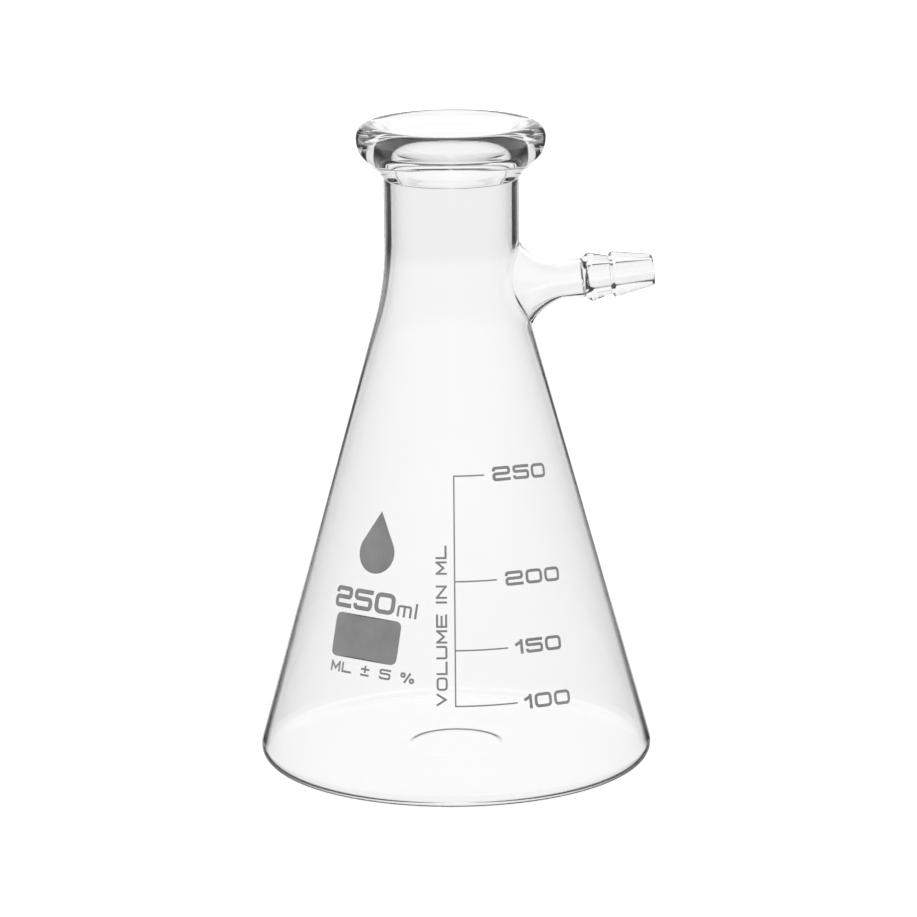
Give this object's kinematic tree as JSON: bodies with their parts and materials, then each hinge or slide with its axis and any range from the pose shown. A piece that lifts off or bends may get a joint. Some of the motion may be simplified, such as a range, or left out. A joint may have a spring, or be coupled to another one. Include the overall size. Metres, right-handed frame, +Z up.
{
  "type": "filtering flask",
  "caption": "Conical glass filtering flask with a heavy rounded rim, a barbed side hose connection and a fired enamel volume scale.",
  "frame": {"origin": "centre of the ring that the flask stands on, on the surface under it", "axes": "+Z up along the axis of the cone and neck; +X towards the hose connection; the print faces -Y, turned 4 degrees towards -X"},
  "size_m": [0.0891, 0.088, 0.1441],
  "materials": {
    "vessel_glass": "polished",
    "tube_glass": "polished",
    "grey_enamel": "satin",
    "spot_enamel": "matte"
  },
  "bodies": {
    "root": {"flask_body": "vessel_glass", "side_arm": "tube_glass", "volume_scale": "grey_enamel", "scale_numerals": "grey_enamel", "scale_caption": "grey_enamel", "capacity_mark": "grey_enamel", "marking_spot": "spot_enamel", "tolerance_mark": "grey_enamel", "drop_emblem": "grey_enamel"}
  },
  "joints": []
}
